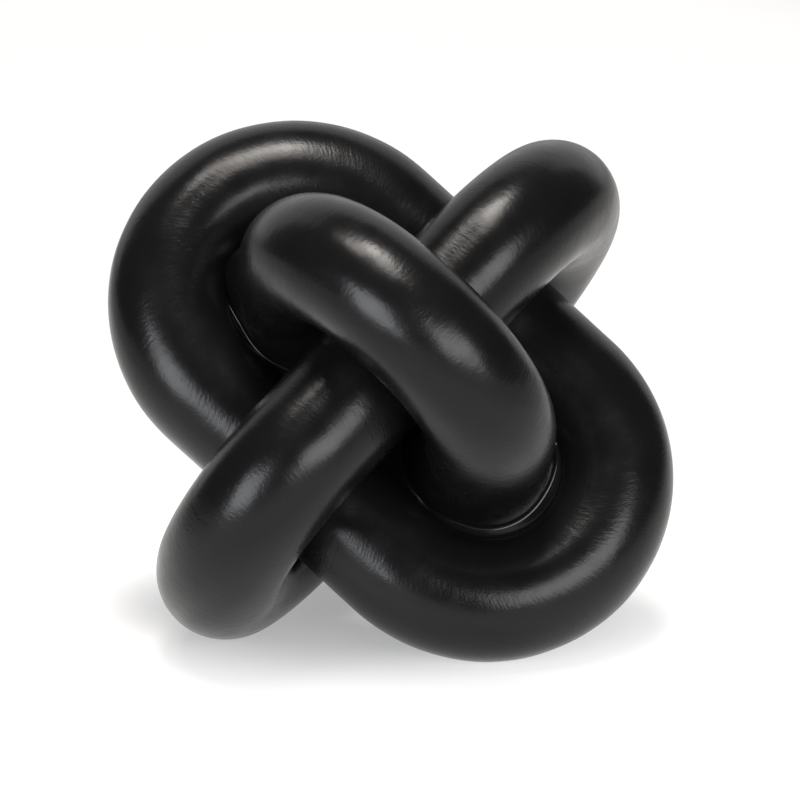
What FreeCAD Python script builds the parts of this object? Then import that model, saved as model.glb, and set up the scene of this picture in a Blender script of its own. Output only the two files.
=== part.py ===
import FreeCAD, Part
import math
import os

# Knot ornament: three alike racetrack rings of thick round bar, square to each other and
# interlocked so that no two are linked but all three are. Each ring is two U castings that
# butt at mid leg on dowel pins, and filler beads close the mouths of the six nests where a
# ring's leg lies in its neighbour's end. Lengths are millimetres and angles are degrees.

# Ring bar and the play between a leg and the end that it lies in
bar_diameter = 25.4
nest_clearance = 0.1

# How far each ring is turned about its own short axis, as the knot was set by hand
face_ring_rock = 3.0
side_ring_rock = 1.0
arch_ring_rock = 0.0

# Flats ground on the three ends that the knot stands on
foot_flat_depth = 0.2

# Dowel pins and their blind bores
dowel_diameter = 8.0
dowel_length = 32.0
dowel_chamfer = 0.8
dowel_vent_depth = 0.5
bore_play = 0.03
bore_end_room = 1.5
bore_mouth_chamfer = 0.6
drill_point_angle = 118.0

# Filler beads: shares of the bar's radius, up the leg from the middle of the ring end around
# it and out from the leg, and how far round the leg they go
bead_edge_share = 0.62
bead_root_share = 0.25
bead_reach_share = 0.75
bead_wrap = 280.0

# Room past a shape for the tool that cuts it
overrun = 1.0

bar_radius = bar_diameter / 2
dowel_radius = dowel_diameter / 2
largest_rock = max(abs(face_ring_rock), abs(side_ring_rock), abs(arch_ring_rock))
rock_stretch = 1 / math.cos(math.radians(largest_rock))

# Centreline of a ring: the bar of a neighbour fits across it, and the whole width of the
# other neighbour fits along it, with the leg in the middle of the round end
half_width = 2 * bar_radius * rock_stretch + nest_clearance
half_length = 2 * half_width * rock_stretch
leg_length = half_length - half_width

ORIGIN = FreeCAD.Vector(0, 0, 0)
X_AXIS = FreeCAD.Vector(1, 0, 0)
Y_AXIS = FreeCAD.Vector(0, 1, 0)
Z_AXIS = FreeCAD.Vector(0, 0, 1)

FOOT_END = 1
TOP_END = -1
END_NAMES = {FOOT_END: "lower", TOP_END: "upper"}


class Ring:
    """Directions of one ring: along it to its foot end, across it, and square to both."""

    def __init__(self, name, along, across, rock):
        angle = math.radians(rock)
        self.name = name
        self.along = along * math.cos(angle) + along.cross(across) * math.sin(angle)
        self.across = across
        self.normal = self.along.cross(across)

    def placement(self, end):
        """Placement that turns a shape made along X, open at the origin, to one ring end."""
        along = self.along * end
        across = self.across * end
        return placed_axes(along, across, self.normal)

    def furthest(self, direction):
        """Point of the ring that lies furthest in a direction."""
        along = direction.dot(self.along)
        across = direction.dot(self.across)
        in_plane = math.hypot(along, across)
        end_centre = self.along * math.copysign(leg_length, along)
        round_end = (self.along * along + self.across * across) * (half_width / in_plane)
        return end_centre + round_end + direction * bar_radius


def placed_axes(x_axis, y_axis, z_axis):
    """Placement that takes X, Y and Z to three given directions."""
    matrix = FreeCAD.Matrix(
        x_axis.x, y_axis.x, z_axis.x, 0,
        x_axis.y, y_axis.y, z_axis.y, 0,
        x_axis.z, y_axis.z, z_axis.z, 0,
        0, 0, 0, 1,
    )
    return FreeCAD.Placement(matrix)


def at_placement(shape, placement):
    """Copy of a shape, moved from where it was made."""
    moved = shape.copy()
    moved.Placement = placement.multiply(moved.Placement)
    return moved


def dowel_bore():
    """Blind bore from the joint face along X: mouth chamfer, wall and drill point."""
    radius = dowel_radius + bore_play
    depth = dowel_length / 2 + bore_end_room
    point_depth = radius / math.tan(math.radians(drill_point_angle / 2))
    start = X_AXIS * -overrun
    wall = Part.makeCylinder(radius, depth + overrun, start, X_AXIS)
    drill_point = Part.makeCone(radius, 0, point_depth, X_AXIS * depth, X_AXIS)
    wide = radius + bore_mouth_chamfer + overrun
    mouth = Part.makeCone(wide, radius, bore_mouth_chamfer + overrun, start, X_AXIS)
    return wall.fuse([drill_point, mouth])


def u_casting():
    """Half a ring: round bar swept along a leg, round the end and back, and bored."""
    leg_end = FreeCAD.Vector(leg_length, 0, 0)
    near_side = Y_AXIS * -half_width
    far_side = Y_AXIS * half_width
    end_tip = X_AXIS * half_length
    path = Part.Wire([
        Part.LineSegment(near_side, near_side + leg_end).toShape(),
        Part.Arc(near_side + leg_end, end_tip, far_side + leg_end).toShape(),
        Part.LineSegment(far_side + leg_end, far_side).toShape(),
    ])
    section = Part.Wire(Part.makeCircle(bar_radius, near_side, X_AXIS))
    bar = path.makePipeShell([section], True, False)
    bores = []
    for side in (near_side, far_side):
        bore = dowel_bore()
        bore.translate(side)
        bores.append(bore)
    return bar.cut(bores).Solids[0]


def dowel_pin():
    """Pin along X about the origin: chamfered ends, and a flat that lets the air out."""
    pin = Part.makeCylinder(dowel_radius, dowel_length, X_AXIS * (-dowel_length / 2), X_AXIS)
    round_edges = [edge for edge in pin.Edges if isinstance(edge.Curve, Part.Circle)]
    pin = pin.makeChamfer(dowel_chamfer, round_edges)
    corner = FreeCAD.Vector(
        -dowel_length / 2 - overrun, -dowel_radius, dowel_radius - dowel_vent_depth)
    vent = Part.makeBox(
        dowel_length + 2 * overrun, dowel_diameter, dowel_vent_depth + overrun, corner)
    return pin.cut(vent).Solids[0]


def bead_section():
    """Section of a bead, right of the leg's axis: its hollow face runs out level."""
    root = bar_radius * bead_root_share
    reach = bar_radius * bead_reach_share
    height = bar_radius * bead_edge_share - root
    corner = FreeCAD.Vector(bar_radius, 0, root)
    edge = corner + Z_AXIS * height
    rim = corner + X_AXIS * reach
    hollow_radius = (reach**2 + height**2) / (2 * height)
    half_sweep = math.atan2(reach, hollow_radius - height) / 2
    back = X_AXIS * (-hollow_radius * math.sin(half_sweep))
    rise = Z_AXIS * (hollow_radius * (1 - math.cos(half_sweep)))
    outline = Part.Wire([
        Part.Arc(edge, rim + back + rise, rim).toShape(),
        Part.LineSegment(rim, corner).toShape(),
        Part.LineSegment(corner, edge).toShape(),
    ])
    return Part.Face(outline)


def filler_bead(host, end, guest, side):
    """Bead in one mouth of a nest: around the guest's leg, up to the host's round end."""
    leg = guest.along
    leg_point = guest.across * (end * half_width)
    along_leg = -leg_point.dot(host.normal) / leg.dot(host.normal)
    nest_centre = leg_point + leg * along_leg

    section = bead_section()
    section.rotate(ORIGIN, Z_AXIS, -bead_wrap / 2)
    collar = section.revolve(ORIGIN, Z_AXIS, bead_wrap)

    mouth = leg * math.copysign(1, leg.dot(host.normal)) * side
    outward = host.along * end
    outward = (outward - mouth * outward.dot(mouth)).normalize()
    placement = placed_axes(outward, mouth.cross(outward), mouth)
    placement.Base = nest_centre
    host_end = at_placement(u_casting(), host.placement(end))
    return at_placement(collar, placement).cut(host_end).Solids[0]


def standing_up(rings):
    """Upward direction when the knot stands on the foot ends of its three rings."""
    down = (X_AXIS + Y_AXIS + Z_AXIS).normalize()
    for _ in range(30):
        first, second, third = [ring.furthest(down) for ring in rings]
        down = (second - first).cross(third - first).normalize()
    return down * -1


def standing_placement(rings, front):
    """Placement on the table: front towards -Y, the middle of the outline at the origin."""
    up = standing_up(rings)
    towards = (front - up * front.dot(up)).normalize()
    right = up.cross(towards)
    turn = placed_axes(right, towards * -1, up).inverse()

    def reach(direction):
        return max(ring.furthest(direction).dot(direction) for ring in rings)

    away = towards * -1
    middle_x = (reach(right) - reach(right * -1)) / 2
    middle_y = (reach(away) - reach(towards)) / 2
    turn.Base = FreeCAD.Vector(-middle_x, -middle_y, reach(up * -1) - foot_flat_depth)
    return turn


def table_block():
    """Block below the table top, which takes the flats off the three feet."""
    size = 4 * half_length
    corner = FreeCAD.Vector(-size / 2, -size / 2, -overrun - foot_flat_depth)
    return Part.makeBox(size, size, overrun + foot_flat_depth, corner)


def build_nodes():
    """All the pieces of the knot by node name, as it stands on the table."""
    face_ring = Ring("face_ring", X_AXIS, Y_AXIS, face_ring_rock)
    side_ring = Ring("side_ring", Y_AXIS, Z_AXIS, side_ring_rock)
    arch_ring = Ring("arch_ring", Z_AXIS, X_AXIS, arch_ring_rock)
    rings = [face_ring, side_ring, arch_ring]
    guest_of = {"face_ring": arch_ring, "side_ring": face_ring, "arch_ring": side_ring}
    standing = standing_placement(rings, Z_AXIS * -1)

    nodes = {}
    casting = u_casting()
    pin = dowel_pin()
    table = table_block()
    for ring in rings:
        for end, end_name in END_NAMES.items():
            half = at_placement(at_placement(casting, ring.placement(end)), standing)
            if end == FOOT_END:
                half = half.cut(table).Solids[0]
            nodes[f"{ring.name}_{end_name}_half"] = half

        for end, leg_name in ((FOOT_END, "first"), (TOP_END, "second")):
            placement = ring.placement(FOOT_END)
            placement.Base = ring.across * (end * half_width)
            dowel = at_placement(at_placement(pin, placement), standing)
            nodes[f"{ring.name}_{leg_name}_leg_dowel"] = dowel

        for end, end_name in END_NAMES.items():
            for side, side_name in ((1, "rear"), (-1, "front")):
                bead = filler_bead(ring, end, guest_of[ring.name], side)
                nodes[f"{ring.name}_{end_name}_{side_name}_bead"] = at_placement(bead, standing)
    return nodes


os.makedirs("parts", exist_ok=True)
for node_name, node_shape in build_nodes().items():
    node_shape.exportStep(f"parts/{node_name}.step")
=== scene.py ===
import logging
import math
from dataclasses import dataclass, field
from enum import Enum

import bpy
import numpy as np
from mathutils import Matrix, Vector, noise


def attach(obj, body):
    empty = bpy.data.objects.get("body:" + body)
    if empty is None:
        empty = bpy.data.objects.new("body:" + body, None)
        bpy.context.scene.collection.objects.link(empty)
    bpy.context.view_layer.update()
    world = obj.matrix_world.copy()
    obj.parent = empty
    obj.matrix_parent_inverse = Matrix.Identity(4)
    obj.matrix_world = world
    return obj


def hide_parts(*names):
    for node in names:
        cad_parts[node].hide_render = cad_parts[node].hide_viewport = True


# The knot ornament's looks: six bar castings in black satin enamel, the filler beads run into
# the mouths of their nests, and a small studio round them. Lengths are metres and angles are
# degrees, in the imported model's own frame: it stands on z = 0 and its front looks along -Y.

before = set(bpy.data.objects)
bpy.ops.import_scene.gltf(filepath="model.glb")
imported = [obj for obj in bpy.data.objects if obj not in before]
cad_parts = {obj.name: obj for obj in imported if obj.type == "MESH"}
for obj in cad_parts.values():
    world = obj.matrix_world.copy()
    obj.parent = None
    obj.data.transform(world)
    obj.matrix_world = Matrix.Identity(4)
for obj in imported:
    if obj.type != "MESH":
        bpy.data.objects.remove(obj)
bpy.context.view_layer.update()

MM = 0.001
BODY = "root"
# How far the face, side and arch rings are turned about their own short axes
ROCKS = (3.0, 1.0, 0.0)
# Corners between the three rings that the filler closes, by the end of the face ring, the side
# ring and the arch ring that each lies towards
CLOSED_CORNERS = ((1, 1, -1), (-1, 1, -1))
# Edges that turn more than this show as creases
CREASE_ANGLE = 35.0
# Watts of an area lamp for each square metre of its face and each unit of its brightness
LAMP_WATTS = 4.0
log = logging.getLogger("metal_knot")


class RingEnd(Enum):
    """The two ends of a ring: the one that it stands on and the one in the air."""

    LOWER = 1
    UPPER = -1

    @property
    def word(self) -> str:
        """The end's word in the names of pieces."""
        return self.name.lower()


class NestMouth(Enum):
    """The two mouths of a nest, on either side of the ring end around the leg."""

    REAR = 1
    FRONT = -1

    @property
    def word(self) -> str:
        """The mouth's word in the names of pieces."""
        return self.name.lower()


# Sizes of the beads in the nests that show, where they differ from the other beads' sizes, by
# the ring's place among the three, its end and the nest's mouth
SHOWN_BEADS = {
    (0, RingEnd.UPPER, NestMouth.FRONT): {
        "smear_turn": 19.0, "smear_share": 0.24, "end_thickness_share": 0.34},
    (0, RingEnd.LOWER, NestMouth.FRONT): {
        "smear_turn": 60.0, "smear_share": 0.12, "end_thickness_share": 0.34},
    (1, RingEnd.UPPER, NestMouth.REAR): {"edge_share": 0.40, "smear_share": 0.0},
}


def linear(hex_colour: str) -> tuple[float, float, float, float]:
    """Turns an sRGB hex colour into the linear colour that a shader takes.

    Args:
        hex_colour: Colour such as "#0d0d0e".

    Returns:
        Linear red, green and blue, and an alpha of 1.
    """
    channels = []
    for start in (1, 3, 5):
        value = int(hex_colour[start:start + 2], 16) / 255
        if value <= 0.04045:
            channels.append(value / 12.92)
        else:
            channels.append(((value + 0.055) / 1.055) ** 2.4)
    return (*channels, 1.0)


def direction_to(azimuth: float, elevation: float) -> Vector:
    """Finds the direction out from the knot to a camera or a lamp.

    Args:
        azimuth: How far round from the front it stands, towards the right.
        elevation: How far above the level it stands.

    Returns:
        The direction.
    """
    azimuth, elevation = math.radians(azimuth), math.radians(elevation)
    return Vector((
        math.sin(azimuth) * math.cos(elevation),
        -math.cos(azimuth) * math.cos(elevation),
        math.sin(elevation),
    ))


def curve_lines(start: np.ndarray, start_way: np.ndarray, end: np.ndarray,
                end_way: np.ndarray, steps: int) -> list[np.ndarray]:
    """Lays lines of points between two lines, so that smooth curves run through them.

    Args:
        start: Points of the first line.
        start_way: Where the curves head for at the first line, and how fast.
        end: Points of the last line.
        end_way: Where the curves head for at the last line, and how fast.
        steps: How many lines are laid.

    Returns:
        The lines after the first one, up to the last one.
    """
    lines = []
    for step in np.linspace(0, 1, steps + 1)[1:]:
        left = 1 - step
        lines.append(
            start * (1 + 2 * step) * left ** 2 + start_way * step * left ** 2
            + end * step ** 2 * (3 - 2 * step) + end_way * step ** 2 * -left)
    return lines


def closed_sides(place: int, end: RingEnd, mouth: NestMouth) -> set[int]:
    """Finds on which sides a bead meets a closed corner.

    Args:
        place: Place of the bead's ring among the three.
        end: End of that ring.
        mouth: Mouth of the nest there.

    Returns:
        The signs that turns round the leg have on those sides.
    """
    return {
        math.prod(corner) for corner in CLOSED_CORNERS
        if (corner[place], corner[place - 1]) == (end.value, mouth.value)
    }


def add_node(tree: bpy.types.NodeTree, kind: str, inputs: dict | None = None,
             **settings) -> bpy.types.Node:
    """Adds a node to a tree.

    Args:
        tree: Tree that gets the node.
        kind: The node's type, such as "ShaderNodeBump".
        inputs: What each input takes, by its name or number: an output of another node is
            linked and any other value is set.
        settings: Values for the node's own properties.

    Returns:
        The new node.
    """
    node = tree.nodes.new(kind)
    for name, value in settings.items():
        setattr(node, name, value)
    for socket, value in (inputs or {}).items():
        if isinstance(value, bpy.types.NodeSocket):
            tree.links.new(value, node.inputs[socket])
        else:
            node.inputs[socket].default_value = value
    return node


def new_tree(name: str) -> tuple[bpy.types.Material, bpy.types.NodeTree]:
    """Makes a material with an empty node tree.

    Args:
        name: The material's name.

    Returns:
        The material and its tree.
    """
    material = bpy.data.materials.new(name)
    material.use_nodes = True
    material.node_tree.nodes.clear()
    return material, material.node_tree


def skinned(name: str, loops: np.ndarray, tips: np.ndarray) -> bpy.types.Object:
    """Skins closed loops of points into a solid whose two ends close on a point.

    Args:
        name: Name of the new object.
        loops: Points as an array of loops, points in a loop, and three coordinates.
        tips: The first and the last end's closing point.

    Returns:
        The new object, smooth but for its sharp edges.
    """
    loop_count, around, _ = loops.shape
    vertices = np.concatenate([loops.reshape(-1, 3), tips])
    first_tip = loop_count * around
    last_loop = first_tip - around
    faces = []
    for i in range(around):
        j = (i + 1) % around
        faces.append((first_tip, j, i))
        faces.append((first_tip + 1, last_loop + i, last_loop + j))
        for start in range(0, last_loop, around):
            faces.append((start + i, start + j, start + around + j, start + around + i))

    mesh = bpy.data.meshes.new(name)
    mesh.from_pydata(vertices.tolist(), [], faces)
    mesh.polygons.foreach_set("use_smooth", [True] * len(mesh.polygons))
    mesh.set_sharp_from_angle(angle=math.radians(CREASE_ANGLE))
    mesh.update()
    piece = bpy.data.objects.new(name, mesh)
    bpy.context.scene.collection.objects.link(piece)
    return piece


@dataclass(frozen=True)
class Bar:
    """Round bar that the three alike rings are made of, and how they nest."""

    diameter: float = 25.4 * MM
    nest_clearance: float = 0.1 * MM
    largest_rock: float = max(ROCKS)

    @property
    def radius(self) -> float:
        """Radius of the bar."""
        return self.diameter / 2

    @property
    def stretch(self) -> float:
        """How much more room a rocked bar takes across."""
        return 1 / math.cos(math.radians(self.largest_rock))

    @property
    def half_width(self) -> float:
        """From a ring's middle to the centreline of its legs."""
        return 2 * self.radius * self.stretch + self.nest_clearance

    @property
    def half_length(self) -> float:
        """From a ring's middle to the centreline at its end."""
        return 2 * self.half_width * self.stretch

    @property
    def leg_length(self) -> float:
        """From a ring's middle to where its leg turns into the round end."""
        return self.half_length - self.half_width


@dataclass
class Ring:
    """One racetrack ring: its directions, and its middle once the knot stands."""

    name: str
    along: np.ndarray
    across: np.ndarray
    rock: float
    bar: Bar
    middle: np.ndarray = field(default_factory=lambda: np.zeros(3))

    def __post_init__(self) -> None:
        """Rocks the ring about its own short axis."""
        angle = math.radians(self.rock)
        lean = np.cross(self.along, self.across)
        self.along = self.along * math.cos(angle) + lean * math.sin(angle)

    @property
    def normal(self) -> np.ndarray:
        """Direction square to the ring's plane."""
        return np.cross(self.along, self.across)

    def stand(self, turn: np.ndarray, middle: np.ndarray) -> None:
        """Turns the ring and puts its middle in place.

        Args:
            turn: The turn as a matrix.
            middle: Where the ring's middle comes to lie.
        """
        self.along = turn @ self.along
        self.across = turn @ self.across
        self.middle = middle

    def furthest(self, direction: np.ndarray) -> np.ndarray:
        """Finds the point of the ring that lies furthest in a direction.

        Args:
            direction: The direction, which isn't square to the ring's plane.

        Returns:
            The point, from the ring's middle.
        """
        along = direction @ self.along
        across = direction @ self.across
        end_centre = self.along * math.copysign(self.bar.leg_length, along)
        rim = (self.along * along + self.across * across) / math.hypot(along, across)
        return end_centre + rim * self.bar.half_width + direction * self.bar.radius

    def centreline_to(self, points: np.ndarray) -> np.ndarray:
        """Vectors to points from the nearest places on the ring's centreline.

        Args:
            points: Array of points, three coordinates each.

        Returns:
            One vector for each point.
        """
        offset = points - self.middle
        leg = self.bar.leg_length
        on_spine = np.clip(offset @ self.along, -leg, leg)[..., None] * self.along
        in_plane = offset - (offset @ self.normal)[..., None] * self.normal - on_spine
        in_plane /= np.linalg.norm(in_plane, axis=-1, keepdims=True)
        return offset - on_spine - in_plane * self.bar.half_width


class Knot:
    """The three interlocked rings as they stand on the table."""

    STANDING_ROUNDS = 30

    def __init__(self, bar: Bar, foot_flat_depth: float = 0.2 * MM) -> None:
        """Sets the rings square to each other and stands them on their three lower ends.

        Args:
            bar: The bar that they are made of.
            foot_flat_depth: How far the feet are ground down.
        """
        x, y, z = np.eye(3)
        face_rock, side_rock, arch_rock = ROCKS
        self.face_ring = Ring("face_ring", x, y, face_rock, bar)
        self.side_ring = Ring("side_ring", y, z, side_rock, bar)
        self.arch_ring = Ring("arch_ring", z, x, arch_rock, bar)
        self.rings = [self.face_ring, self.side_ring, self.arch_ring]
        self.guests = [self.arch_ring, self.face_ring, self.side_ring]
        turn, middle = self.standing(front=-z, foot_flat_depth=foot_flat_depth)
        for ring in self.rings:
            ring.stand(turn, middle)

    def standing(self, front: np.ndarray,
                 foot_flat_depth: float) -> tuple[np.ndarray, np.ndarray]:
        """Finds how the knot turns to stand on its three lower ends.

        Args:
            front: The side that faces the viewer, before the turn.
            foot_flat_depth: How far the feet are ground down.

        Returns:
            The turn as a matrix, and where the rings' shared middle then lies.
        """
        down = np.ones(3) / math.sqrt(3)
        for _ in range(self.STANDING_ROUNDS):
            first, second, third = (ring.furthest(down) for ring in self.rings)
            down = np.cross(second - first, third - first)
            down /= np.linalg.norm(down)
        towards = front - down * (front @ down)
        towards /= np.linalg.norm(towards)
        right = np.cross(-down, towards)

        def reach(direction: np.ndarray) -> float:
            """How far the rings reach in a direction."""
            return max(ring.furthest(direction) @ direction for ring in self.rings)

        middle = np.array([
            (reach(-right) - reach(right)) / 2,
            (reach(towards) - reach(-towards)) / 2,
            reach(down) - foot_flat_depth,
        ])
        return np.array([right, -towards, -down]), middle


@dataclass(frozen=True)
class HandFinish:
    """How the castings swell and dip where they were linished and filled by hand."""

    broad_height: float = 0.13 * MM
    broad_span: float = 17 * MM
    close_height: float = 0.035 * MM
    close_span: float = 6.5 * MM

    def swell(self, points: np.ndarray) -> np.ndarray:
        """Height of the surface over its true shape.

        Args:
            points: Array of points, three coordinates each.

        Returns:
            A height for each point, in metres.
        """
        heights = [
            self.broad_height * noise.noise(Vector(point / self.broad_span))
            + self.close_height * noise.noise(Vector(point / self.close_span))
            for point in points.reshape(-1, 3)
        ]
        return np.array(heights).reshape(points.shape[:-1])


@dataclass(frozen=True)
class DowelBore:
    """Blind bore for a dowel pin, from the joint face of a casting."""

    radius: float = 4.03 * MM
    mouth_chamfer: float = 0.6 * MM
    depth: float = 17.5 * MM
    point_angle: float = 118.0

    @property
    def point_depth(self) -> float:
        """How far the drill point goes on past the bore."""
        return self.radius / math.tan(math.radians(self.point_angle / 2))


@dataclass
class RingCasting:
    """Half a ring: a U of round bar, bored for a dowel pin in each leg's end."""

    ring: Ring
    end: RingEnd
    finish: HandFinish = HandFinish()
    bore: DowelBore = DowelBore()
    points_around: int = 72
    leg_steps: int = 24
    bend_steps: int = 72

    @property
    def node(self) -> str:
        """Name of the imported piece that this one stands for."""
        return f"{self.ring.name}_{self.end.word}_half"

    def stations(self) -> list[tuple[float, float, float]]:
        """Lists the circles that the casting is skinned over, from bore to bore.

        Returns:
            For each circle how far it lies along the leg, the angle that it has gone round
            the bend, and its radius.
        """
        bar = self.ring.bar
        bore = self.bore
        mouth_radius = bore.radius + bore.mouth_chamfer
        near = [
            (bore.depth, bore.radius),
            (bore.mouth_chamfer, bore.radius),
            (0.0, mouth_radius),
        ]
        near += [
            (bar.leg_length * step / self.leg_steps, bar.radius)
            for step in range(self.leg_steps)
        ]
        quarter = math.pi / 2
        bend = [
            (bar.leg_length, math.pi * step / self.bend_steps - quarter, bar.radius)
            for step in range(self.bend_steps + 1)
        ]
        return (
            [(place, -quarter, radius) for place, radius in near]
            + bend
            + [(place, quarter, radius) for place, radius in reversed(near)]
        )

    def build(self) -> bpy.types.Object:
        """Builds the casting.

        Returns:
            The casting's object, which carries each point's place along and round the bar.
        """
        bar = self.ring.bar
        along = self.ring.along * self.end.value
        across = self.ring.across * self.end.value
        turns = np.linspace(0, 2 * math.pi, self.points_around, endpoint=False)
        loops, places = [], []
        run = 0.0
        last_centre = None
        for place, angle, radius in self.stations():
            outward = along * math.cos(angle) + across * math.sin(angle)
            centre = self.ring.middle + along * place + outward * bar.half_width
            spokes = np.outer(np.cos(turns), outward) + np.outer(np.sin(turns), self.ring.normal)
            loop = centre + spokes * radius
            if radius == bar.radius:
                loop += spokes * self.finish.swell(loop)[:, None]
                run += 0.0 if last_centre is None else float(np.linalg.norm(centre - last_centre))
                last_centre = centre
            loops.append(loop)
            places.append(np.column_stack([
                np.full(self.points_around, run),
                radius * np.cos(turns),
                radius * np.sin(turns),
            ]))
        loops = np.array(loops)
        if self.end is RingEnd.LOWER:
            loops[..., 2] = np.maximum(loops[..., 2], 0.0)

        deepest = self.bore.depth + self.bore.point_depth
        leg_starts = self.ring.middle + np.outer((-1, 1), across * bar.half_width)
        tips = leg_starts + along * deepest
        piece = skinned(f"{self.ring.name}_{self.end.word}_casting", loops, tips)
        tip_places = np.zeros((2, 3))
        attribute = piece.data.attributes.new("bar_place", "FLOAT_VECTOR", "POINT")
        flat_places = np.concatenate([np.array(places).reshape(-1, 3), tip_places])
        attribute.data.foreach_set("vector", flat_places.astype(np.float32).ravel())
        return piece

    def dress(self, piece: bpy.types.Object, coat: bpy.types.Material) -> None:
        """Gives the casting its coat and its place in the model.

        Args:
            piece: The casting's object.
            coat: The coat's material.
        """
        piece.data.materials.append(coat)
        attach(piece, BODY)
        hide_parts(self.node)


@dataclass
class FillerBead:
    """Bead of filler in one mouth of a nest.

    It feathers out up the leg, was drawn hollow with a small ball-ended tool, and sweeps from
    there up to the ring end around. Towards a closed corner it goes on as a level shelf, and
    towards an open one it drops into the nest and ends. Shares are of the bar's radius, heights
    are up the leg from the nest's middle, and turns are round the leg, from the direction in
    which the ring end goes round it.

    Attributes:
        host: Ring whose end goes round the nest.
        end: That end.
        guest: Ring whose leg lies in the nest.
        mouth: Mouth of the nest that the bead closes.
        closed_sides: Signs of the turns at which the bead meets a closed corner.
        finish: Swell of the skins that the bead lies on.
        smear_turn: Turn at which the filler was smeared on thickest.
        smear_share: Thickness of the smear.
        smear_spread: How far the smear runs each way.
        smear_rise: How much the smear lifts the hollow's edge, as a share of its thickness.
        edge_share: Height of the hollow's edge.
        open_drop_share: How far the edge drops towards an open corner.
        taper: Length of the feather above the hollow, for each unit of thickness.
        least_taper: Least length of the feather.
        thickens_from: Turn from which the filler thickens towards a closed corner.
        thickens_to: Turn at which it has its end's thickness.
        end_thickness_share: That thickness.
        thickening: Power by which it thickens.
        ball: Radius of the tool.
        sweep_reach_share: How far from the leg's axis the sweep meets the ring end.
        sweep_ends: Turns between which the sweep goes over to a level face.
        wander: How much the edge wanders.
        wander_span: Length along the edge over which it wanders.
        host_reach_share: How far a level face reaches across to the ring end beside the leg.
        host_beside_to: Last turn at which the ring end counts as beside the leg.
        open_reach_share: Furthest reach of a level face towards an open corner.
        closed_reach_share: Distance from the leg's axis to the edge of a closed corner's shelf.
        shelf_from: First turn that the shelf's edge is worked out for.
        open_turn: Turn at which the bead ends towards an open corner.
        closed_turn: Turn at which it ends towards a closed corner.
        end_round: Turn over which its ends are rounded off.
        back_depth: How deep its back lies inside the rings.
        edge_sunk: How deep its thin edges are sunk into the rings' skins.
        turn_steps: Steps of its mesh round the leg.
        hollow_steps: Steps down the hollow.
        shelf_steps: Steps from the hollow to the ring end or the shelf's edge.
    """

    host: Ring
    end: RingEnd
    guest: Ring
    mouth: NestMouth
    closed_sides: set[int] = field(default_factory=set)
    finish: HandFinish = HandFinish()
    smear_turn: float = 50.0
    smear_share: float = 0.08
    smear_spread: float = 30.0
    smear_rise: float = 0.7
    edge_share: float = 0.50
    open_drop_share: float = 0.26
    taper: float = 3.2
    least_taper: float = 0.4 * MM
    thickens_from: float = 70.0
    thickens_to: float = 150.0
    end_thickness_share: float = 0.04
    thickening: float = 1.25
    ball: float = 0.75 * MM
    sweep_reach_share: float = 1.21
    sweep_ends: tuple[float, float] = (58.0, 86.0)
    wander: float = 0.3 * MM
    wander_span: float = 11 * MM
    host_reach_share: float = 1.22
    host_beside_to: float = 175.0
    open_reach_share: float = 1.4
    closed_reach_share: float = 1.85
    shelf_from: float = 100.0
    open_turn: float = 98.0
    closed_turn: float = 179.0
    end_round: float = 8.0
    back_depth: float = 1.0 * MM
    edge_sunk: float = 0.04 * MM
    turn_steps: int = 140
    hollow_steps: int = 10
    shelf_steps: int = 8

    @property
    def word(self) -> str:
        """The bead's own part of its piece's name."""
        return f"{self.host.name}_{self.end.word}_{self.mouth.word}"

    def nest(self) -> tuple[np.ndarray, np.ndarray, np.ndarray]:
        """Finds the nest that the bead closes.

        Returns:
            The nest's middle on the leg's axis, the direction out of its mouth, and the
            direction in which the ring end goes round it.
        """
        bar = self.host.bar
        leg = self.guest.along
        leg_point = self.guest.across * (self.end.value * bar.half_width)
        tilt = float(leg @ self.host.normal)
        middle = self.host.middle + leg_point - leg * (leg_point @ self.host.normal) / tilt
        out = leg * math.copysign(1, tilt) * self.mouth.value
        round_side = self.host.along * self.end.value
        round_side = round_side - out * (round_side @ out)
        return middle, out, round_side / np.linalg.norm(round_side)

    def last_turns(self) -> tuple[float, float]:
        """Finds how far the bead goes round the leg each way.

        Returns:
            The turns at which it starts and ends.
        """
        first, last = (
            side * math.radians(self.closed_turn if side in self.closed_sides else self.open_turn)
            for side in (-1, 1)
        )
        return first, last

    def closes(self, turns: np.ndarray) -> np.ndarray:
        """Finds at which turns the bead faces a closed corner.

        Args:
            turns: Turns round the leg.

        Returns:
            1 on the side of a closed corner and 0 on the others.
        """
        return np.isin(np.sign(turns), list(self.closed_sides)).astype(float)

    def levels(self, turns: np.ndarray) -> np.ndarray:
        """Finds how level the bead's face runs at each turn.

        Args:
            turns: Turns round the leg.

        Returns:
            0 where it sweeps up to the ring end, 1 where it is level, and shares between.
        """
        sweep_end, level_start = (math.radians(turn) for turn in self.sweep_ends)
        past = np.clip((np.abs(turns) - sweep_end) / (level_start - sweep_end), 0, 1)
        return past * past * (3 - 2 * past)

    def reaches(self, turns: np.ndarray) -> np.ndarray:
        """Finds how far a level face reaches from the leg's axis at each turn.

        Args:
            turns: Turns round the leg.

        Returns:
            The reaches, just into the bar of the ring end where that is near enough.
        """
        radius = self.host.bar.radius
        away = np.abs(turns)
        beside = np.sin(np.clip(away, math.pi / 2, math.radians(self.host_beside_to)))
        inward = -np.cos(np.clip(away, math.radians(self.shelf_from), math.pi))
        shelf = self.closed_reach_share / inward
        limits = np.where(self.closes(turns) > 0, shelf, self.open_reach_share)
        return radius * np.minimum(self.host_reach_share / beside, limits)

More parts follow.
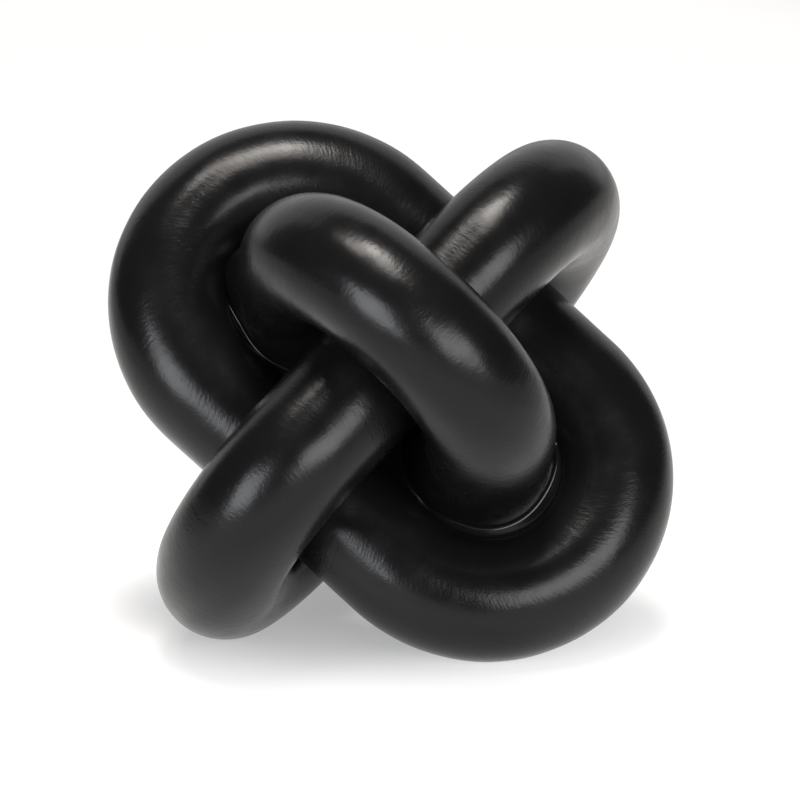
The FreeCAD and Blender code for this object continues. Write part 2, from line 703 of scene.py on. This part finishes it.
    def thicknesses(self, turns: np.ndarray) -> tuple[np.ndarray, np.ndarray]:
        """Finds how thickly the filler lies on the leg at each turn.

        Args:
            turns: Turns round the leg.

        Returns:
            The thickness where it was smeared on, and that of its ends.
        """
        radius = self.host.bar.radius
        from_smear = (turns - math.radians(self.smear_turn)) / math.radians(self.smear_spread)
        smeared = radius * self.smear_share * np.exp(-from_smear ** 2)
        start = math.radians(self.thickens_from)
        growth = math.radians(self.thickens_to - self.thickens_from)
        past = np.clip((np.abs(turns) - start) / growth, 0, None) * self.closes(turns)
        return smeared, radius * self.end_thickness_share * past ** self.thickening

    def heights(self, turns: np.ndarray, edges: np.ndarray, smeared: np.ndarray) -> np.ndarray:
        """Finds how far up the leg the hollow's edge lies at each turn.

        Args:
            turns: Turns round the leg.
            edges: Points near that edge.
            smeared: Thickness of the smeared filler there.

        Returns:
            The heights.
        """
        radius = self.host.bar.radius
        wander = [noise.noise(Vector(spot / self.wander_span)) for spot in edges]
        heights = radius * self.edge_share + self.smear_rise * smeared
        heights = heights + self.wander * np.array(wander)
        opens = 1 - self.closes(turns)
        return heights - radius * self.open_drop_share * self.levels(turns) * opens

    def fullness(self, turns: np.ndarray) -> np.ndarray:
        """Finds what share of its full section the bead has at each turn.

        Args:
            turns: Turns round the leg, from one end of the bead to the other.

        Returns:
            Shares that round its ends off.
        """
        from_end = np.minimum(turns - turns[0], turns[-1] - turns) / math.radians(self.end_round)
        return np.sqrt(1 - np.clip(1 - from_end, 0, 1) ** 2)

    def on_host(self, points: np.ndarray, spokes: np.ndarray,
                out: np.ndarray) -> tuple[np.ndarray, np.ndarray]:
        """Finds where the bead's face runs out on the ring end around.

        Args:
            points: Points near the ring end, one for each turn.
            spokes: Directions from the leg's axis to them.
            out: Direction out of the nest's mouth.

        Returns:
            The places on the ring end, a little below its skin, and the way in which its
            surface goes on there.
        """
        from_line = self.host.centreline_to(points)
        facing = from_line / np.linalg.norm(from_line, axis=1, keepdims=True)
        depth = self.host.bar.radius + self.finish.swell(points) - self.edge_sunk
        places = points - from_line + facing * depth[:, None]
        way = spokes * (facing @ out)[:, None]
        way = way - np.outer((facing * spokes).sum(axis=1), out)
        return places, way / np.linalg.norm(way, axis=1, keepdims=True)

    def build(self) -> bpy.types.Object:
        """Builds the bead.

        Returns:
            The bead's object, whose back and edges lie inside the rings.
        """
        radius = self.host.bar.radius
        middle, out, round_side = self.nest()
        turns = np.linspace(*self.last_turns(), self.turn_steps + 1)
        spokes = np.outer(np.cos(turns), round_side)
        spokes += np.outer(np.sin(turns), np.cross(out, round_side))

        def line(across: np.ndarray, height: np.ndarray) -> np.ndarray:
            """Lays a line of points round the leg, by distance from its axis and height."""
            return middle + spokes * across[:, None] + np.outer(height, out)

        edges = middle + spokes * radius + out * radius * self.edge_share
        skin = radius + self.finish.swell(edges)
        smeared, ended = self.thicknesses(turns)
        thickness = smeared + ended
        heights = self.heights(turns, edges, smeared)

        feather_end = heights + self.least_taper + self.taper * thickness
        lines = [line(skin - self.edge_sunk, feather_end)]
        for angle in np.linspace(0, math.pi / 2, self.hollow_steps + 1):
            rim = skin + thickness + self.ball * (1 - math.cos(angle))
            rim_height = heights - self.ball * math.sin(angle)
            lines.append(line(rim, rim_height))

        least_reach = rim + self.ball
        level = line(np.maximum(self.reaches(turns), least_reach), rim_height)
        by_host = line(np.maximum(radius * self.sweep_reach_share, least_reach), rim_height)
        swept, swept_way = self.on_host(by_host, spokes, out)
        levels = self.levels(turns)[:, None]
        end = swept + (level - swept) * levels
        end_way = swept_way + (spokes - swept_way) * levels
        span = np.linalg.norm(end - lines[-1], axis=1, keepdims=True)
        lines += curve_lines(lines[-1], spokes * span, end, end_way * span, self.shelf_steps)

        lines.append(end + spokes * self.ball - out * self.back_depth)
        for height in (rim_height - self.back_depth, heights):
            lines.append(line(skin - self.back_depth, height))
        loops = np.array(lines).transpose(1, 0, 2)
        backs = loops[:, -2:].mean(axis=1, keepdims=True)
        loops = backs + (loops - backs) * self.fullness(turns)[:, None, None]
        return skinned(f"{self.word}_filler", loops[1:-1], backs[[0, -1], 0])

    def dress(self, piece: bpy.types.Object, coat: bpy.types.Material) -> None:
        """Gives the bead its coat and its place in the model.

        Args:
            piece: The bead's object.
            coat: The coat's material.
        """
        piece.data.materials.append(coat)
        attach(piece, BODY)
        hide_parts(f"{self.word}_bead")


@dataclass(frozen=True)
class SatinEnamel:
    """Black satin enamel, sprayed over cast metal that was linished across the bar.

    It gives the eye a near black with soft-edged highlights, whose borders are broken by the
    fine crosswise lines of the linishing and by the spray's faint orange peel. Its IOR is below
    paint's usual 1.5, as matched to the photo's dim reflections. Roughness and lines come in
    patches, between two levels of the patches' noise each.
    """

    name: str = "satin_black_enamel_sprayed"
    colour: str = "#111112"
    ior: float = 1.34
    roughness: float = 0.255
    roughness_spread: float = 0.045
    rough_patches: tuple[float, float] = (0.3, 0.7)
    patch_span: float = 7 * MM
    line_spacing: float = 0.5 * MM
    line_length: float = 2.8 * MM
    line_slant: float = 24.0
    line_depth: float = 0.05 * MM
    line_patches: tuple[float, float] = (0.35, 0.65)
    faint_line_share: float = 0.3
    kink_spacing: float = 1.5 * MM
    kink_length: float = 7 * MM
    kink_depth: float = 0.03 * MM
    peel_span: float = 0.5 * MM
    peel_depth: float = 0.02 * MM
    speck_spacing: float = 8 * MM
    speck_radius: float = 0.14 * MM
    speck_height: float = 0.03 * MM

    def material(self) -> bpy.types.Material:
        """Makes the material.

        Returns:
            The material.
        """
        material, tree = new_tree(self.name)
        place = add_node(tree, "ShaderNodeAttribute", attribute_name="bar_place")
        spot = add_node(tree, "ShaderNodeTexCoord")
        patches = add_node(
            tree, "ShaderNodeTexNoise",
            {"Vector": spot.outputs["Object"], "Scale": 1 / self.patch_span, "Detail": 3.0})
        lines_at = add_node(
            tree, "ShaderNodeMapping", {
                "Vector": place.outputs["Vector"],
                "Rotation": (0.0, 0.0, math.radians(self.line_slant)),
                "Scale": (self.line_spacing, self.line_length, self.line_length),
            }, vector_type="TEXTURE")
        lines = add_node(
            tree, "ShaderNodeTexNoise",
            {"Vector": lines_at.outputs[0], "Scale": 1.0, "Detail": 2.0, "Roughness": 0.6})
        line_share = add_node(
            tree, "ShaderNodeMapRange", {
                "Value": patches.outputs[0],
                "From Min": self.line_patches[0],
                "From Max": self.line_patches[1],
                "To Min": self.faint_line_share,
                "To Max": 1.0,
            })
        lines = add_node(
            tree, "ShaderNodeMath", {0: lines.outputs[0], 1: line_share.outputs[0]},
            operation="MULTIPLY")
        kinks_at = add_node(
            tree, "ShaderNodeMapping", {
                "Vector": place.outputs["Vector"],
                "Scale": (1 / self.kink_spacing, 1 / self.kink_length, 1 / self.kink_length),
            })
        kinks = add_node(
            tree, "ShaderNodeTexNoise",
            {"Vector": kinks_at.outputs[0], "Scale": 1.0, "Detail": 1.0})
        peel = add_node(
            tree, "ShaderNodeTexNoise",
            {"Vector": spot.outputs["Object"], "Scale": 1 / self.peel_span, "Detail": 1.0})
        roughness = add_node(
            tree, "ShaderNodeMapRange", {
                "Value": patches.outputs[0],
                "From Min": self.rough_patches[0],
                "From Max": self.rough_patches[1],
                "To Min": self.roughness - self.roughness_spread,
                "To Max": self.roughness + self.roughness_spread,
            })
        specks = add_node(
            tree, "ShaderNodeTexVoronoi",
            {"Vector": spot.outputs["Object"], "Scale": 1 / self.speck_spacing})
        speck = add_node(
            tree, "ShaderNodeMapRange", {
                "Value": specks.outputs["Distance"],
                "From Min": 0.0,
                "From Max": self.speck_radius / self.speck_spacing,
                "To Min": 1.0,
                "To Max": 0.0,
            })
        bump = None
        for height, depth in (
            (lines.outputs[0], self.line_depth),
            (kinks.outputs[0], self.kink_depth),
            (peel.outputs[0], self.peel_depth),
            (speck.outputs[0], self.speck_height),
        ):
            inputs = {"Height": height, "Distance": depth, "Strength": 1.0}
            if bump is not None:
                inputs["Normal"] = bump.outputs[0]
            bump = add_node(tree, "ShaderNodeBump", inputs)
        shader = add_node(
            tree, "ShaderNodeBsdfPrincipled", {
                "Base Color": linear(self.colour),
                "IOR": self.ior,
                "Roughness": roughness.outputs[0],
                "Normal": bump.outputs[0],
            })
        add_node(tree, "ShaderNodeOutputMaterial", {"Surface": shader.outputs[0]})
        return material


@dataclass(frozen=True)
class PaintedFiller:
    """Epoxy filler drawn smooth by a gloved finger and sprayed with the same black enamel.

    It has no linishing lines and lies smoother than the bar, so its hollow shows one clean
    bright line.
    """

    name: str = "painted_epoxy_filler_drawn_smooth"
    colour: str = "#111112"
    ior: float = 1.4
    roughness: float = 0.15
    lump_span: float = 2.2 * MM
    lump_depth: float = 0.03 * MM

    def material(self) -> bpy.types.Material:
        """Makes the material.

        Returns:
            The material.
        """
        material, tree = new_tree(self.name)
        spot = add_node(tree, "ShaderNodeTexCoord")
        lumps = add_node(
            tree, "ShaderNodeTexNoise",
            {"Vector": spot.outputs["Object"], "Scale": 1 / self.lump_span, "Detail": 2.0})
        bump = add_node(
            tree, "ShaderNodeBump",
            {"Height": lumps.outputs[0], "Distance": self.lump_depth, "Strength": 1.0})
        shader = add_node(
            tree, "ShaderNodeBsdfPrincipled", {
                "Base Color": linear(self.colour),
                "IOR": self.ior,
                "Roughness": self.roughness,
                "Normal": bump.outputs[0],
            })
        add_node(tree, "ShaderNodeOutputMaterial", {"Surface": shader.outputs[0]})
        return material


@dataclass(frozen=True)
class GroundSteel:
    """Hardened steel, centreless ground, as dowel pins are.

    It gives the eye bright metal with a fine grain.
    """

    name: str = "hardened_steel_ground"
    colour: str = "#c3c4c6"
    roughness: float = 0.22
    grain_span: float = 0.2 * MM
    grain_depth: float = 0.002 * MM

    def material(self) -> bpy.types.Material:
        """Makes the material.

        Returns:
            The material.
        """
        material, tree = new_tree(self.name)
        spot = add_node(tree, "ShaderNodeTexCoord")
        grain = add_node(
            tree, "ShaderNodeTexNoise",
            {"Vector": spot.outputs["Object"], "Scale": 1 / self.grain_span, "Detail": 2.0})
        bump = add_node(
            tree, "ShaderNodeBump",
            {"Height": grain.outputs[0], "Distance": self.grain_depth, "Strength": 1.0})
        shader = add_node(
            tree, "ShaderNodeBsdfPrincipled", {
                "Base Color": linear(self.colour),
                "Metallic": 1.0,
                "Roughness": self.roughness,
                "Normal": bump.outputs[0],
            })
        add_node(tree, "ShaderNodeOutputMaterial", {"Surface": shader.outputs[0]})
        return material


@dataclass(frozen=True)
class PhotoCamera:
    """Where the photograph was taken from, round the knot's middle."""

    azimuth: float = -3.24
    elevation: float = 19.56
    distance: float = 1.2630
    aim_right: float = -1.96 * MM
    aim_up: float = 2.20 * MM
    lens: float = 282.3
    sensor: float = 36.0

    def build(self, middle: Vector) -> None:
        """Makes the camera and looks through it.

        Args:
            middle: The knot's middle.
        """
        azimuth = math.radians(self.azimuth)
        right = Vector((math.cos(azimuth), math.sin(azimuth), 0))
        back = direction_to(self.azimuth, self.elevation)
        up = back.cross(right)
        data = bpy.data.cameras.new("photo_camera")
        data.lens = self.lens
        data.sensor_width = self.sensor
        camera = bpy.data.objects.new("photo_camera", data)
        aim = middle - right * self.aim_right - up * self.aim_up
        turn = Matrix((right, up, back)).transposed().to_4x4()
        camera.matrix_world = Matrix.Translation(aim + back * self.distance) @ turn
        bpy.context.scene.collection.objects.link(camera)
        bpy.context.scene.camera = camera


@dataclass(frozen=True)
class SoftBox:
    """Soft lamp at a place on a sphere round the knot, facing it."""

    name: str
    azimuth: float
    elevation: float
    distance: float
    width: float
    height: float
    brightness: float
    colour: str = "#ffffff"

    def build(self, middle: Vector) -> None:
        """Makes the lamp.

        Args:
            middle: What the lamp faces.
        """
        back = direction_to(self.azimuth, self.elevation)
        data = bpy.data.lights.new(self.name, "AREA")
        data.shape = "RECTANGLE"
        data.size = self.width
        data.size_y = self.height
        data.color = linear(self.colour)[:3]
        data.energy = LAMP_WATTS * self.width * self.height * self.brightness
        lamp = bpy.data.objects.new(self.name, data)
        lamp.rotation_euler = (-back).to_track_quat("-Z", "Y").to_euler()
        lamp.location = middle + back * self.distance
        bpy.context.scene.collection.objects.link(lamp)


@dataclass
class Studio:
    """Pale floor, a dark room to the front, sides and top, soft lamps and a white backdrop.

    The floor's paint is lifted to white where the camera and mirrors see it. The lift is lowered
    under the knot, which is a painted shadow that deepens the lamps' own shadow there. The lift
    fades a little past that painted shadow's edge, and fades again outside a pool that holds the
    floor behind the knot. Painted shadow and pool are ellipses, and where a change starts or ends
    is a share of their reach.
    """

    middle: Vector
    floor_colour: str = "#b0b0b0"
    floor_lift: float = 0.78
    floor_radius: float = 4.0
    floor_points: int = 96
    # Painted shadow: the floor's lift is lowered in this ellipse under the knot
    painted_shadow_middle: tuple[float, float] = (-0.006, 0.0)
    painted_shadow_reach: tuple[float, float] = (0.075, 0.043)
    painted_shadow_starts: float = 0.35
    painted_shadow_lift: float = 0.35
    lift_fades_at: float = 2.2
    lift_fades_to: float = 0.66
    pool_middle: tuple[float, float] = (0.0, 0.16)
    pool_reach: tuple[float, float] = (0.19, 0.33)
    pool_fades_at: float = 1.6
    pool_fades_to: float = 0.2
    room_level: float = 0.02
    room_radius: float = 2.2
    room_half_turn: float = 132.0
    room_height: float = 2.4
    room_points: int = 64
    boxes: list[SoftBox] = field(default_factory=lambda: [
        SoftBox("top_box", 0.0, 89.0, 1.6, 0.40, 0.40, 22.0, "#fffaf4"),
        SoftBox("top_box_left", -90.0, 75.0, 1.6, 0.42, 0.42, 9.4, "#fffaf4"),
        SoftBox("top_box_front", 0.0, 75.0, 1.6, 0.42, 0.42, 8.6, "#fffaf4"),
        SoftBox("left_box", -43.0, 10.0, 1.6, 0.83, 0.86, 6.6, "#f8faff"),
        SoftBox("right_box", 30.0, 16.0, 1.6, 1.16, 0.70, 5.6),
    ])

    def floor_paint(self) -> bpy.types.Material:
        """Makes the floor's pale paint, which mirrors and the camera see as white, and its
        painted shadow under the knot.

        Returns:
            The material.
        """
        material, tree = new_tree("pale_floor_paint")
        ray = add_node(tree, "ShaderNodeLightPath")
        seen = add_node(
            tree, "ShaderNodeMath",
            {0: ray.outputs["Is Camera Ray"], 1: ray.outputs["Is Glossy Ray"]},
            operation="MAXIMUM")
        seen = add_node(
            tree, "ShaderNodeMath",
            {0: seen.outputs[0], 1: ray.outputs["Is Transmission Ray"]},
            operation="MAXIMUM")
        spot = add_node(tree, "ShaderNodeTexCoord")
        lift = None
        # The first ellipse paints a shadow under the knot by lowering the lift, the second fades
        # the lift past it, and the third fades it outside the pool
        for middle, reach, starts, ends, least, most in (
            (self.painted_shadow_middle, self.painted_shadow_reach, self.painted_shadow_starts, 1.0,
             self.painted_shadow_lift, self.floor_lift),
            (self.painted_shadow_middle, self.painted_shadow_reach, 1.0, self.lift_fades_at,
             1.0, self.lift_fades_to),
            (self.pool_middle, self.pool_reach, 1.0, self.pool_fades_at,
             1.0, self.pool_fades_to),
        ):
            place = add_node(
                tree, "ShaderNodeMapping", {
                    "Vector": spot.outputs["Object"],
                    "Location": (-middle[0] / reach[0], -middle[1] / reach[1], 0.0),
                    "Scale": (1 / reach[0], 1 / reach[1], 1.0),
                })
            away = add_node(
                tree, "ShaderNodeVectorMath", {0: place.outputs[0]}, operation="LENGTH")
            share = add_node(
                tree, "ShaderNodeMapRange", {
                    "Value": away.outputs["Value"],
                    "From Min": starts,
                    "From Max": ends,
                    "To Min": least,
                    "To Max": most,
                }, interpolation_type="SMOOTHSTEP")
            if lift is not None:
                share = add_node(
                    tree, "ShaderNodeMath", {0: lift.outputs[0], 1: share.outputs[0]},
                    operation="MULTIPLY")
            lift = share
        strength = add_node(
            tree, "ShaderNodeMath", {0: lift.outputs[0], 1: seen.outputs[0]},
            operation="MULTIPLY")
        paint = add_node(
            tree, "ShaderNodeBsdfDiffuse", {"Color": linear(self.floor_colour)})
        glow = add_node(tree, "ShaderNodeEmission", {"Strength": strength.outputs[0]})
        both = add_node(
            tree, "ShaderNodeAddShader", {0: paint.outputs[0], 1: glow.outputs[0]})
        add_node(tree, "ShaderNodeOutputMaterial", {"Surface": both.outputs[0]})
        return material

    def build_floor(self) -> None:
        """Makes the round floor."""
        around = self.floor_points
        turns = np.linspace(0, 2 * math.pi, around, endpoint=False)
        rim = np.column_stack([np.cos(turns), np.sin(turns), np.zeros(around)])
        mesh = bpy.data.meshes.new("floor")
        mesh.from_pydata((rim * self.floor_radius).tolist(), [], [tuple(range(around))])
        mesh.materials.append(self.floor_paint())
        floor = bpy.data.objects.new("floor", mesh)
        bpy.context.scene.collection.objects.link(floor)

    def build_room(self) -> None:
        """Makes the dark walls and ceiling, which only reflections see."""
        material, tree = new_tree("dark_studio_room")
        glow = add_node(tree, "ShaderNodeEmission", {"Strength": self.room_level})
        add_node(tree, "ShaderNodeOutputMaterial", {"Surface": glow.outputs[0]})
        steps = self.room_points
        half_turn = math.radians(self.room_half_turn)
        turns = np.linspace(-half_turn, 2 * math.pi - half_turn, steps, endpoint=False)
        ring = np.column_stack([np.sin(turns), -np.cos(turns)]) * self.room_radius
        low = np.column_stack([ring, np.zeros(steps)])
        high = np.column_stack([ring, np.full(steps, self.room_height)])
        last_wall = round(steps * self.room_half_turn / 180)
        faces = [(i, i + 1, steps + i + 1, steps + i) for i in range(last_wall)]
        faces.append(tuple(range(steps, 2 * steps)))
        mesh = bpy.data.meshes.new("studio_room")
        mesh.from_pydata(np.concatenate([low, high]).tolist(), [], faces)
        mesh.materials.append(material)
        room = bpy.data.objects.new("studio_room", mesh)
        room.visible_camera = False
        bpy.context.scene.collection.objects.link(room)

    def build_world(self) -> None:
        """Makes the white backdrop."""
        world = bpy.data.worlds.new("white_backdrop")
        world.use_nodes = True
        tree = world.node_tree
        tree.nodes.clear()
        glow = add_node(tree, "ShaderNodeBackground", {"Strength": 1.0})
        add_node(tree, "ShaderNodeOutputWorld", {"Surface": glow.outputs[0]})
        bpy.context.scene.world = world

    def build(self) -> None:
        """Makes the floor, the room, the backdrop and the lamps."""
        self.build_floor()
        self.build_room()
        self.build_world()
        for box in self.boxes:
            box.build(self.middle)


def main() -> None:
    """Builds the knot in its studio and reports each piece."""
    logging.basicConfig(level=logging.INFO)
    knot = Knot(Bar())
    enamel = SatinEnamel().material()
    filler = PaintedFiller().material()
    steel = GroundSteel().material()

    for place, (ring, guest) in enumerate(zip(knot.rings, knot.guests)):
        for end in RingEnd:
            casting = RingCasting(ring, end)
            piece = casting.build()
            casting.dress(piece, enamel)
            log.info("%s: %d faces", piece.name, len(piece.data.polygons))
            for mouth in NestMouth:
                sides = closed_sides(place, end, mouth)
                sizes = SHOWN_BEADS.get((place, end, mouth), {})
                bead = FillerBead(ring, end, guest, mouth, sides, **sizes)
                piece = bead.build()
                bead.dress(piece, filler)
                log.info("%s: %d faces", piece.name, len(piece.data.polygons))

    for name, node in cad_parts.items():
        if name.endswith("_dowel"):
            node.data.materials.clear()
            node.data.materials.append(steel)
            log.info("%s: ground steel", name)

    middle = Vector(knot.face_ring.middle)
    PhotoCamera().build(middle)
    Studio(middle).build()

    scene = bpy.context.scene
    scene.view_settings.view_transform = "Standard"


if __name__ == "__main__":
    main()
